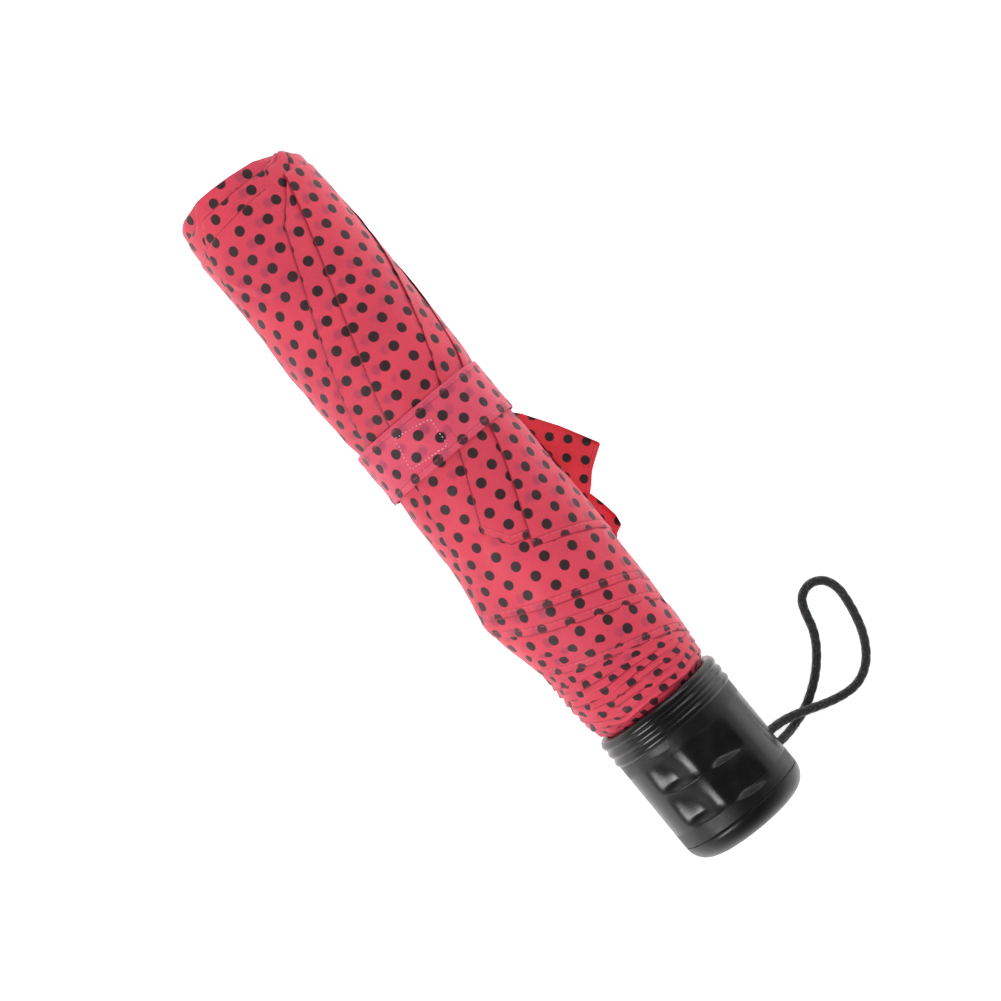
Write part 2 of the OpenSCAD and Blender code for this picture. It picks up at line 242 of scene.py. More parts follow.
def cloth_material(name, tint, deep, dot_tint, ghosts=0.42):
    """Thin woven polyester with printed dots.

    UV map cloth is the flat cloth. UV map hem holds the way to the hem and the way to the nearest fold.
    """
    shader = Shader(name, Roughness=0.52, Sheen_Weight=0.35, Sheen_Roughness=0.35, Specular_IOR_Level=0.35)
    shader.main.inputs["Sheen Tint"].default_value = (1.0, 0.55, 0.65, 1)
    cloth = shader.uv("cloth")
    place = shader.object_place()
    patches = shader.ramp(shader.noise(place, 45.0, 4.0, 0.55), 0.32, 0.68)
    base = shader.mix(patches, deep, tint)
    threads = shader.noise(cloth, 2600.0, 2.0, 0.7)
    base = shader.mix(shader.ramp(threads, 0.3, 0.75, 0.0, 0.22), base, (0.86, 0.16, 0.22, 1))
    # Dots of the ply underneath, which show faintly in places
    ghost = dot_mask(shader, cloth, (0.31, 0.27, 0), 1.5 * MM, 0.75 * MM)
    veil = shader.ramp(shader.noise(place, 60.0, 2.0), 0.42, 0.6)
    shown = shader.math("MULTIPLY", shader.math("MULTIPLY", ghost, veil), ghosts)
    base = shader.mix(shown, base, (0.20, 0.035, 0.10, 1))
    # Printed dots, with lighter threads in them
    worn = shader.ramp(threads, 0.25, 0.8, 0.0, 0.3)
    dots = shader.mix(worn, dot_tint, (0.075, 0.035, 0.04, 1))
    colour = shader.mix(dot_mask(shader, cloth, (0, 0, 0), DOT_R, 0.16 * MM), base, dots)
    # Weave and small slack
    warp = shader.node("ShaderNodeTexWave", {"Vector": cloth, "Scale": WEAVE_SCALE, "Distortion": 0.6},
                       bands_direction="X").outputs["Fac"]
    weft = shader.node("ShaderNodeTexWave", {"Vector": cloth, "Scale": WEAVE_SCALE, "Distortion": 0.6},
                       bands_direction="Y").outputs["Fac"]
    weave = shader.math("MULTIPLY", warp, weft)
    slack = shader.noise(cloth, 260.0, 3.0, 0.6)
    normal = shader.bump(weave, 0.00004, 0.5)
    normal = shader.bump(slack, 0.00022, 0.55, normal)
    # Shadow lines at folds and hems, and a turned-in hem with a row of stitches
    ways = shader.node("ShaderNodeSeparateXYZ", {"Vector": shader.uv("hem")})
    to_hem, to_fold = ways.outputs["X"], ways.outputs["Y"]
    colour = shader.mix(shader.ramp(to_fold, 0.0007, 0.0002, 0.0, 0.75), colour, EDGE_SHADE)
    colour = shader.mix(shader.ramp(to_hem, 0.0006, 0.0002, 0.0, 0.75), colour, EDGE_SHADE)
    turned_in = shader.math("COMPARE", to_hem, HEM_W, 0.00014)
    colour = shader.mix(shader.math("MULTIPLY", turned_in, 0.35), colour, (0.42, 0.015, 0.04, 1))
    inside = shader.ramp(to_hem, HEM_W + 0.0002, HEM_W - 0.0002)
    along = shader.node("ShaderNodeSeparateXYZ", {"Vector": cloth}).outputs["X"]
    place_in_stitch = shader.math("FRACT", shader.math("DIVIDE", along, STITCH_PITCH))
    dash = shader.math("GREATER_THAN", place_in_stitch, 0.36)
    row = shader.math("COMPARE", to_hem, HEM_W - 0.0005, 0.00016)
    stitch = shader.math("MULTIPLY", dash, row)
    colour = shader.mix(shader.math("MULTIPLY", inside, 0.05), colour, (0.78, 0.10, 0.16, 1))
    colour = shader.mix(shader.math("MULTIPLY", stitch, 0.22), colour, (0.88, 0.22, 0.30, 1))
    normal = shader.bump(inside, 0.00016, 0.8, normal)
    normal = shader.bump(stitch, 0.00012, 0.8, normal)
    shader.feed(shader.main.inputs["Base Color"], colour)
    shader.feed(shader.main.inputs["Normal"], normal)
    shader.feed(shader.main.inputs["Roughness"], shader.ramp(slack, 0.3, 0.7, 0.46, 0.6, "LINEAR"))
    return shader.material


def plastic_material(name, tint, smoothness, satin=()):
    """Black moulded plastic with a fine grain and faint marks. satin lists duller bands (low Y, high Y)."""
    shader = Shader(name, IOR=1.5, Specular_IOR_Level=0.5)
    place = shader.object_place()
    grain = shader.noise(place, 2300.0, 2.0, 0.6)
    marks = shader.noise(place, 180.0, 4.0, 0.6)
    colour = shader.mix(shader.ramp(marks, 0.35, 0.7), (*tint, 1), tuple(1.35 * c for c in tint) + (1,))
    shader.feed(shader.main.inputs["Base Color"], colour)
    rough = shader.ramp(marks, 0.3, 0.75, smoothness, smoothness + 0.12)
    normal = shader.bump(grain, 0.00003, 0.35)
    height = shader.node("ShaderNodeSeparateXYZ", {"Vector": place}).outputs["Y"]
    for low, high in satin:
        inside = shader.math("MULTIPLY", shader.ramp(height, low, low + 1.5 * MM),
                             shader.ramp(height, high, high - 0.3 * MM))
        rough = shader.math("ADD", rough, shader.math("MULTIPLY", inside, 0.17))
        pits = shader.math("MULTIPLY", shader.noise(place, 1500.0, 2.0, 0.7), inside)
        normal = shader.bump(pits, 0.00009, 0.8, normal)
    shader.feed(shader.main.inputs["Roughness"], rough)
    shader.feed(shader.main.inputs["Normal"], shader.bump(marks, 0.00008, 0.3, normal))
    return shader.material


def steel_material(name, tint, smoothness, grain_scale):
    """Plated or brushed steel with fine drawn lines along the shaft and dull patches."""
    shader = Shader(name, Metallic=1.0)
    place = shader.object_place()
    drawn = shader.node("ShaderNodeMapping", {"Vector": place, "Scale": (1, 0.02, 1)}).outputs[0]
    lines = shader.noise(drawn, grain_scale, 3.0, 0.6)
    dull = shader.noise(place, 90.0, 4.0, 0.6)
    colour = shader.mix(shader.ramp(dull, 0.35, 0.75), (*tint, 1), tuple(0.78 * c for c in tint) + (1,))
    shader.feed(shader.main.inputs["Base Color"], colour)
    shader.feed(shader.main.inputs["Roughness"], shader.ramp(lines, 0.3, 0.7, smoothness, smoothness + 0.14))
    shader.feed(shader.main.inputs["Normal"], shader.bump(lines, 0.00002, 0.3))
    return shader.material


def cord_material():
    """Black braided polyester, with lighter flecks."""
    shader = Shader("cord_braid", Roughness=0.62, Sheen_Weight=0.25, Sheen_Roughness=0.5)
    place = shader.object_place()
    flecks = shader.ramp(shader.noise(place, 1500.0, 2.0, 0.7), 0.56, 0.72)
    colour = shader.mix(flecks, (0.011, 0.011, 0.012, 1), (0.10, 0.10, 0.105, 1))
    shader.feed(shader.main.inputs["Base Color"], colour)
    fibres = shader.noise(place, 3800.0, 2.0, 0.6)
    shader.feed(shader.main.inputs["Normal"], shader.bump(fibres, 0.00008, 0.7))
    return shader.material


def thread_material():
    shader = Shader("stitch_thread", Roughness=0.5, Sheen_Weight=0.3)
    twist = shader.noise(shader.object_place(), 2500.0, 2.0)
    colour = shader.mix(shader.ramp(twist, 0.3, 0.7), (0.86, 0.42, 0.50, 1), (0.95, 0.66, 0.70, 1))
    shader.feed(shader.main.inputs["Base Color"], colour)
    shader.feed(shader.main.inputs["Normal"], shader.bump(twist, 0.00005, 0.5))
    return shader.material


CLOTH = cloth_material("canopy_cloth", (0.80, 0.052, 0.095, 1), (0.70, 0.040, 0.085, 1),
                       (0.032, 0.014, 0.016, 1))
# A redder copy of the cloth, with fainter ghost dots, for the loose corners beside the bundle.
REDDER_CLOTH = cloth_material("cloth_redder_copy", (0.88, 0.016, 0.036, 1), (0.74, 0.011, 0.026, 1),
                        (0.022, 0.014, 0.016, 1), ghosts=0.1)
STRAP = cloth_material("strap_cloth", (0.80, 0.075, 0.14, 1), (0.72, 0.06, 0.125, 1),
                       (0.034, 0.017, 0.019, 1), ghosts=0.5)
BLACK = plastic_material("handle_plastic", (0.0055, 0.0053, 0.0056), 0.2,
                         satin=((END_Y, END_Y + 11.8 * MM), (END_Y + 33.0 * MM, END_Y + 38.2 * MM)))
CAP_BLACK = plastic_material("end_cap_plastic", (0.0055, 0.0053, 0.0056), 0.27)
NYLON = plastic_material("inner_plastic", (0.012, 0.012, 0.013), 0.42)
TUBE = steel_material("tube_steel", (0.72, 0.73, 0.75), 0.12, 900.0)
SPRING = steel_material("spring_steel", (0.55, 0.56, 0.59), 0.3, 1400.0)
RIB = steel_material("rib_steel", (0.50, 0.51, 0.53), 0.34, 1100.0)
CORD = cord_material()
THREAD = thread_material()

# ---------------------------------------------------------------- camera

VIEW_SHARE = (0.773, -0.634)
CAMERA_UP = 0.669
CAMERA_OVER = (AXIS_X + 0.002, END_Y + 0.122)
camera = bpy.data.objects.new("camera", bpy.data.cameras.new("camera"))
bpy.context.scene.collection.objects.link(camera)
bpy.context.scene.camera = camera
camera.data.lens = 80.6
camera.data.sensor_width = 36
right = Vector((*VIEW_SHARE, 0)).normalized()
up = Vector((-right.y, right.x, 0))
turn = Matrix((right, up, Vector((0, 0, 1)))).transposed()
camera.matrix_world = Matrix.Translation((*CAMERA_OVER, AXIS_Z + CAMERA_UP)) @ turn.to_4x4()

# ---------------------------------------------------------------- wrist cord

CORD_D = 2.8
CORD_SIDES = 32
CORD_STEP = 0.45
CORD_EVEN_OUT = 16
# The route's own points: mm to the right of the axis, mm above the handle's end, mm over the table
CORD_ROUTE = [
    (18.2, 16, 11), (21.6, 16, 9), (25.5, 15.5, 7.1), (29.5, 14.5, 5.8), (33.5, 13.1, 4.9),
    (37.5, 11.5, 3.7), (41.6, 10, 2.2), (45.8, 9, 1.5), (50, 8.8, 1.5), (54, 10, 1.5),
    (57.6, 12.6, 1.5), (60.4, 16.2, 1.5), (62.6, 20.6, 1.5), (64, 25.4, 1.5), (64.9, 30.4, 1.5),
    (65.2, 35.4, 1.5), (63.4, 40, 1.5), (59, 42, 1.5), (54.6, 40.2, 1.5), (52.6, 35.8, 1.5),
    (51.4, 31, 1.5), (49.2, 26.6, 1.5), (46, 22.4, 1.5), (42.2, 18.7, 1.5), (37.8, 15.5, 1.5),
    (33.6, 13.2, 1.5), (29.4, 12, 3), (25.4, 11.5, 6.1), (21.6, 11.5, 9), (18.2, 11.5, 11)]


def smooth_route(points, step):
    """Points every step mm along a smooth curve through the route's points, in mm."""
    points = np.array(points, float)
    ends = np.vstack([2 * points[0] - points[1], points, 2 * points[-1] - points[-2]])
    fine = []
    for p0, p1, p2, p3 in zip(ends, ends[1:], ends[2:], ends[3:]):
        for t in np.arange(0, 1, 0.04):
            fine.append(0.5 * (2 * p1 + (p2 - p0) * t + (2 * p0 - 5 * p1 + 4 * p2 - p3) * t ** 2
                               + (3 * p1 - p0 - 3 * p2 + p3) * t ** 3))
    fine = np.array(fine + [points[-1]])
    along = np.concatenate([[0], np.cumsum(np.linalg.norm(np.diff(fine, axis=0), axis=1))])
    wanted = np.linspace(0, along[-1], int(along[-1] / step) + 1)
    path = np.stack([np.interp(wanted, along, fine[:, k]) for k in range(3)], 1)
    for _ in range(CORD_EVEN_OUT):
        path[1:-1] = (path[:-2] + 2 * path[1:-1] + path[2:]) / 4
    return path, np.linalg.norm(np.diff(path, axis=0), axis=1).sum()


def braided_tube(name, path, length):
    """A round tube along the path, with a raised braid of crossing strands."""
    ahead = np.gradient(path, axis=0)
    ahead /= np.linalg.norm(ahead, axis=1)[:, None]
    side = np.cross(ahead, [0, 0, 1.0])
    side /= np.linalg.norm(side, axis=1)[:, None]
    over = np.cross(side, ahead)
    around = np.arange(CORD_SIDES) * 2 * math.pi / CORD_SIDES
    along = np.linspace(0, length, len(path))[:, None]
    one = np.sin(4 * around[None] + along * 1.9)
    other = np.sin(4 * around[None] - along * 1.9)
    relief = 0.11 * np.maximum(one, other) - 0.06
    r = CORD_D / 2 + relief
    ring = np.cos(around)[None, :, None] * side[:, None] + np.sin(around)[None, :, None] * over[:, None]
    points = path[:, None] + r[..., None] * ring
    return grid_piece(name, beside(points[..., 0], points[..., 1], points[..., 2]), closed=True)


cord_path, cord_length = smooth_route(CORD_ROUTE, CORD_STEP)
cord = braided_tube("braided_wrist_cord", cord_path, cord_length)
finish_piece(cord, "handle", "cord_braid", CORD, "wrist_cord")
cord_line = beside(cord_path[:, 0], cord_path[:, 1], cord_path[:, 2])

# ---------------------------------------------------------------- handle

# Radii, and heights above the handle's end, in mm
CAP_L = 6.8
CAP_BEND = 6.4
CAP_HOLLOW = 0.35
GRIP_L = 47.2
CUP_R = 18.2
CUP_FLOOR_S = 30.0
SOCKET_R = 4.95
BEADS = (45.4, 42.3, 39.2)
BEAD_R = 1.5
BEAD_PROUD = 0.5
DIMPLE_COUNT = 8
DIMPLE_TURN = math.radians(7.5)
DIMPLE_DEPTH = 2.1
DIMPLE_HALF = GRIP_R * math.pi / DIMPLE_COUNT
RIDGE_SHARE = 0.12
DIMPLE_L = 12.0
LEDGES = (10.7, 22.6)
LEDGE_TILT = 2.6
LEDGE_L = 3.0


def grip_radius(a, s):
    """The grip's outer radius: three beads by the rim, a plain collar, and two tiers of finger dimples."""
    r = np.full(np.broadcast(a, s).shape, GRIP_R)
    for bead in BEADS:
        off = np.abs(s - bead)
        round_top = GRIP_R + BEAD_PROUD - BEAD_R + np.sqrt(np.maximum(BEAD_R ** 2 - off ** 2, 0))
        r = np.where(off < BEAD_R, np.maximum(r, round_top), r)
    pitch = 2 * math.pi / DIMPLE_COUNT
    off = (np.mod(a - DIMPLE_TURN, pitch) - pitch / 2) * GRIP_R
    from_front = np.mod(a - DIMPLE_TURN, math.pi) - math.pi / 2
    ridge = RIDGE_SHARE * np.cos(2 * from_front) ** 2
    across = ridge + (1 - ridge) * (0.5 + 0.5 * np.cos(math.pi * off / DIMPLE_HALF))
    across = np.where(np.abs(from_front) < pitch, across, 0)
    for ledge in LEDGES:
        rise = s - ledge + LEDGE_TILT * np.cos(a) - 0.012 * off ** 2
        fade = 1 - np.clip((rise - LEDGE_L) / (DIMPLE_L - LEDGE_L), 0, 1) ** 2
        r = r - DIMPLE_DEPTH * across * (1 - (1 - np.clip(rise / LEDGE_L, 0, 1)) ** 2.2) * fade
    return r


def ring_of(name, outline, turns=256):
    """A turned shell from an outline of (radius, height, dimpled). Dimpled rows take the grip's radius."""
    a = np.arange(turns) * 2 * math.pi / turns
    rows = []
    for r, s, dimpled in outline:
        radius = grip_radius(a, np.full(turns, s)) if dimpled else np.full(turns, r)
        rows.append(at_shaft(a, radius, s))
    return grid_piece(name, np.array(rows), closed=True)


def make_handle():
    """The grip, which is a cup with a socket for the shaft in its floor, and the rounded end cap."""
    outline = [(SOCKET_R, CAP_L + 1.5, False), (CUP_R - 1, CAP_L + 1.5, False),
               (CUP_R - 1, CAP_L + 0.1, False), (GRIP_R - 0.45, CAP_L + 0.1, False),
               (GRIP_R - 0.12, CAP_L + 0.12, False)]
    outline += [(GRIP_R, s, True) for s in np.arange(CAP_L + 0.35, GRIP_L - 0.5, 0.26)]
    outline += [(GRIP_R - 0.35, GRIP_L - 0.25, False), (GRIP_R - 0.75, GRIP_L, False),
                (CUP_R + 0.5, GRIP_L, False), (CUP_R + 0.1, GRIP_L - 0.35, False),
                (CUP_R, GRIP_L - 0.9, False)]
    outline += [(CUP_R, s, False) for s in np.arange(GRIP_L - 4, CUP_FLOOR_S + 1, -3.0)]
    outline += [(CUP_R - 0.1, CUP_FLOOR_S + 0.3, False), (CUP_R - 0.5, CUP_FLOOR_S, False),
                (SOCKET_R + 2.6, CUP_FLOOR_S, False), (SOCKET_R, CUP_FLOOR_S, False)]
    grip = ring_of("dimpled_grip", outline)
    finish_piece(grip, "handle", "handle_plastic", BLACK, "handle_grip")
    corner = [(GRIP_R - CAP_BEND * (1 - math.cos(t)), CAP_BEND * (1 - math.sin(t)), False)
              for t in np.linspace(0, math.pi / 2, 14)]
    cap = [(GRIP_R - 0.6, CAP_L, False), (GRIP_R - 0.14, CAP_L - 0.03, False), (GRIP_R, CAP_L - 0.2, False)]
    cap += corner[1:]
    cap += [(r, CAP_HOLLOW * (1 - r / (GRIP_R - CAP_BEND)) ** 2, False) for r in np.linspace(13, 0.05, 9)]
    cap_piece = ring_of("rounded_end_cap", cap)
    finish_piece(cap_piece, "handle", "end_cap_plastic", CAP_BLACK, "handle_end_cap")


make_handle()

# ---------------------------------------------------------------- furled cloth

CLOTH_R = 22.4
TOP_S = 244.4
RIB_R = 13.8
FIRST_STEP = 0.55
# Layers from the outside down to the ribs
WIND = 8.6
# Degrees behind its leading fold: where a gore's columns get further apart, and where it ends at its rib
NEAR_WIND = 110
FAR_WIND = 385
# Height at which each flap's azimuth is given
FOLD_S = 187.0
# Height of the lowest hems, inside the cup
CUP_MOUTH_S = 43.2
FURLED_L = 245.0
STRAP_LOW = 141.0
STRAP_HIGH = 158.6
# Outer radius of the furled bundle at heights above the handle's end
BUNDLE = [(40, 16.4), (44.5, 16.8), (47.2, 17.5), (48.6, 19.7), (52, 20.6), (58, 21.2), (75, 21.7),
          (95, 22.3), (125, 22.4), (STRAP_LOW - 7, 22.5), (STRAP_LOW - 0.8, 21.9), (STRAP_HIGH + 0.8, 21.9),
          (STRAP_HIGH + 6, 22.8), (175, 23.1), (225, 22.9), (236, 22.6), (250, 22.3)]
PLEAT_PITCH = 2.6
PLEAT_LIP = 0.16
PLY_GAP = 0.16
# One flap's fold turns faster above a kink
KINKED_FLAP = 3
KINK_S = 223.0
KINK_RATE = math.radians(1.4)
# Rows of points are close together below LOW_S, in the gathers, and above HIGH_S, by the top fold
LOW_S = 72.0
HIGH_S = 204.0


class Flap:
    """One folded gore. Its leading fold is at azimuth fold at FOLD_S, and turns by rate for each mm down."""

    def __init__(self, fold, rate, hem_s, hem_slope, hem_bend=0.0):
        self.fold, self.rate = math.radians(fold), math.radians(rate)
        self.hem_s, self.hem_slope, self.hem_bend = hem_s, hem_slope, hem_bend

    def edge(self, s):
        return self.fold + self.rate * (FOLD_S - s)

    def hem(self, behind):
        """Height of the hem at an angle behind the leading fold."""
        d = np.degrees(behind)
        near = np.minimum(d, 21)
        return self.hem_s - self.hem_slope * d - self.hem_bend * near


FLAPS = [Flap(5, 1.02, 105.2, 0.115), Flap(32, 1.15, 117.8, 0.115, 0.26), Flap(92.5, 0.82, 97.0, 0.122),
         Flap(117, 1.03, 96.0, 0.122), Flap(180, 0.75, 84.0, 0.10), Flap(222, 0.9, 66.0, 0.10),
         Flap(240, 0.75, 49.5, 0.07), Flap(306, 0.80, 118.0, 0.14)]


def bundle_radius(a, s):
    """The bundle's outer radius, with a slack bulge on its left side and gentle unevenness."""
    heights, radii = zip(*BUNDLE)
    r = np.interp(s, heights, radii)
    left = np.exp(-(np.mod(a, 2 * math.pi) - math.pi) ** 2 / 0.2)
    r = r + 3.4 * np.exp(-((s - 95) / 14) ** 2) * left
    held = np.exp(-((s - (STRAP_LOW + STRAP_HIGH) / 2) / 15) ** 4)
    return r + 0.22 * (1 - held) * ripples(a, s, 5, 5, 38, 80)


def gathers(a, s):
    """Small pleats of the cloth drawn together above the cup.

    Gives their height, the length of cloth that they hide and the way to the nearest fold, in mm.
    """
    across = np.cos(a)
    deep = smooth((65.5 - 6.7 * across - s) / 4) * smooth((s - 44.5) / 2.5)
    uneven = 0.42 * np.sin(2 * a + s / 9) + 0.24 * np.sin(5 * a - s / 5)
    way = np.maximum((71 - 10.8 * across - s) / PLEAT_PITCH + uneven, 0)
    k = np.floor(way)
    step = way - k
    lip = smooth((step - 1 + PLEAT_LIP) / PLEAT_LIP)
    height = np.where(step > 1 - PLEAT_LIP, 1 - lip, step / (1 - PLEAT_LIP))
    amount = 0.72 + 0.22 * np.sin(2.1 * k) + 0.26 * np.sin((2 + np.mod(k, 3)) * a + 1.7 * k)
    hidden = 1.9 * (k + lip) + 0.9 * (np.sin(1.9 * k) * (1 - lip) + np.sin(1.9 * (k + 1)) * lip)
    amount = np.maximum(amount, 0.1) * deep
    from_lip = np.abs(step - 1 + PLEAT_LIP / 2) * PLEAT_PITCH + 1.2 * np.clip(1 - 1.7 * amount, 0, 1)
    return amount * (height - 0.5), hidden, from_lip


def creases(a, s):
    """Soft pulls of the cloth towards the strap and one slack crease at the left of the top end."""
    above = np.exp(-np.abs(s - STRAP_HIGH - 1) / 9) * (s > STRAP_HIGH)
    below = np.exp(-np.abs(s - STRAP_LOW + 1) / 7) * (s < STRAP_LOW)
    pull = 0.22 * (above + below) * np.sin(a * 13 + s * 0.12 + 1.1 * np.sin(a * 3))
    deg = np.degrees(a)
    line = s - (224 - 0.42 * (160 - deg))
    slack = 0.35 * np.exp(-((line - 3.2) / 2.2) ** 2) - 0.45 * np.exp(-(line / 1.7) ** 2)
    return pull + slack * smooth((154 - deg) / 10) * smooth((deg - 108) / 20)


def layers_above(j, behind, s):
    """How many folded flaps lie on flap j at an angle behind its leading fold, as a smooth number."""
    def turn_to(k):
        return np.mod(FLAPS[j].fold - FLAPS[k].fold, 2 * math.pi) or 2 * math.pi

    count = np.zeros(np.broadcast(behind, s).shape)
    order = sorted(range(len(FLAPS)), key=turn_to)
    passed = np.zeros_like(count)
    for extra in (0, 2 * math.pi):
        for k in order:
            gap = FLAPS[j].edge(s) - FLAPS[k].edge(s)
            fold_gap = FLAPS[j].fold - FLAPS[k].fold
            turns = math.ceil(-fold_gap / (2 * math.pi) + 1e-9) if k != j else 1
            here = gap + 2 * math.pi * turns + extra
            here = np.maximum(here, passed + 0.05)
            pressed = np.clip((behind - passed) / np.maximum(here - passed, 0.02), 0, 1)
            covered = smooth((s - FLAPS[k].hem(np.maximum(behind - here, 0)) + 1.0) / 3.0)
            count = count + pressed * covered
            passed = here
    return count


def depth_of(count):
    """mm under the bundle's outside for a number of layers. The last layer comes down to the ribs."""
    cube = (CLOTH_R - RIB_R - FIRST_STEP * WIND) / WIND ** 3
    return FIRST_STEP * count + cube * count ** 3


def top_line(a, count):
    """Height of the top fold: outer flaps stop lowest, and the layers under them show as further bands."""
    across = np.cos(a)
    end = TOP_S - 1.4 * across - 2.6 * across ** 6
    outer = 234.6 + 1.3 * across
    second = 240.0
    first_band = outer + (second - outer) * smooth((count - 1) / 0.15)
    last_band = second + (end - second) * smooth((count - 2) / 0.15)
    return np.where(count < 1.6, first_band, last_band) - 0.35 * np.maximum(count - 3, 0)


def share_rows(length, pitch):
    """Shares from 0 up to 1, which is left out, for rows about pitch apart."""
    return np.linspace(0, 1, max(int(length / pitch), 1), endpoint=False)[:, None]


def share_top_rows():
    """Shares for the rows of the top end, which get closer towards its fold."""
    return 1 - np.linspace(1, 0, 56)[:, None] ** 1.35


def furled_gore(j):
    """Outer zone of gore j: two plies joined at the leading fold, wound from the ribs to the outside."""
    flap = FLAPS[j]
    near = np.linspace(0, 1, 34, endpoint=False) ** 1.25 * NEAR_WIND
    angles = np.concatenate([near, np.linspace(NEAR_WIND, FAR_WIND, 13)])
    columns = [(1, d) for d in angles[::-1]] + [(0, d) for d in angles[::2][1:]]
    ply = np.array([c[0] for c in columns], float)[None]
    behind = np.radians(np.array([c[1] for c in columns]))[None]
    hem = np.maximum(flap.hem(behind), CUP_MOUTH_S + 0.8 * np.sin(behind * 5 + j))
    # The top fold's height depends on how many layers lie outside it, and the other way round
    reach = np.full_like(hem, 234.0)
    for _ in range(3):
        a_top = flap.edge(reach) - behind
        reach = top_line(a_top, layers_above(j, behind, reach))
    first = np.maximum(hem + 1, LOW_S)
    s = np.concatenate([hem + (first - hem) * share_rows(LOW_S - hem.min(), 0.42),
                        first + (HIGH_S - first) * share_rows(HIGH_S - LOW_S, 1.5),
                        HIGH_S + (reach - HIGH_S) * share_top_rows()])
    behind = behind + 0 * s
    a = flap.edge(s) - behind
    kink = np.maximum(s - KINK_S, 0) * KINK_RATE if j == KINKED_FLAP else 0
    a = a - kink * np.exp(-behind * 3)
    count = layers_above(j, behind, s)
    rho = bundle_radius(a, s) - depth_of(np.minimum(count, WIND))
    pleat, hidden, from_lip = gathers(a, s)
    rho = rho + pleat * np.exp(-count / 6) + creases(a, s) * np.exp(-count / 4)
    slackness = 0.13 * ripples(a, s, 40 + j, 6, 9, 24, 0.9) + 0.05 * ripples(a, s, 70 + j, 5, 4, 8, 0.6)
    rho = rho + slackness * smooth((235 - s) / 8) * np.exp(-count / 3)
    under = smooth((behind * CLOTH_R) / 1.2) * PLY_GAP + 0.02
    rho = rho - np.where(ply > 0.5, 0.0, under)
    # The cloth rounds inwards at its top fold and at its hem
    from_top = reach - s
    rho = rho - 0.55 * np.clip(1 - from_top / 1.5, 0, 1) ** 2
    rho = rho - 0.16 * np.clip(1 - (s - hem) / 0.5, 0, 1)
    rho = np.maximum(rho, RIB_R - 0.4)
    points = lie_on_table(at_shaft(a, rho, s))
    tilt = math.atan(flap.rate * CLOTH_R)
    arc = behind * CLOTH_R
    along = (FURLED_L - s) / math.cos(tilt) - arc * math.sin(tilt) + hidden
    across = np.where(ply > 0.5, 1, -1) * arc * math.cos(tilt)
    # Each gore shows another part of the printed lattice
    cloth = np.stack([MM * (across + 2.3 * j + 3), MM * (along + 1.7 * j)], -1)
    to_fold = np.minimum(np.minimum(arc, from_lip), from_top + 0.15)
    way = np.stack([MM * (s - hem) * math.cos(tilt), MM * to_fold], -1)
    piece = grid_piece(f"furled_gore_{j + 1}", points, {"cloth": cloth, "hem": way})
    finish_piece(piece, "crown", "canopy_cloth", CLOTH)
    return piece


gores = [furled_gore(j) for j in range(len(FLAPS))]
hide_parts("canopy")

# ---------------------------------------------------------------- own meshes for the furled cloth


def gather_up(piece):
    """Gives a furled piece its own copy of its mesh."""
    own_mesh(piece)


# ---------------------------------------------------------------- tie strap

STRAP_R = 22.62
STRAP_T = 0.42
STRAP_HEM = 2.5
TAB_FROM = math.radians(80)
TAB_TO = math.radians(189)
TAB_LIFT = 0.62
# Sections of one stitch: share of its length from its middle, half width and height
STITCH_SHAPE = ((-0.5, 0.03, 0), (-0.3, 0.12, 0.1), (0, 0.15, 0.15), (0.3, 0.12, 0.1), (0.5, 0.03, 0))


def strap_wave(a, t):
    """Soft waves of the strap, t mm above its lower edge."""
    wave = 0.10 * np.sin(a * 7 + t * 0.25) + 0.07 * np.sin(a * 17 - t * 0.5 + 1.3)
    return wave + 0.05 * ripples(a, t + STRAP_LOW, 21, 5, 7, 15, 0.7)


def tab_lift(a):
    """The free end lies flush with the band where it leaves it, and a ply above it further on."""
    return 0.03 + (TAB_LIFT - 0.03) * smooth((a - TAB_FROM) * CLOTH_R / 8)


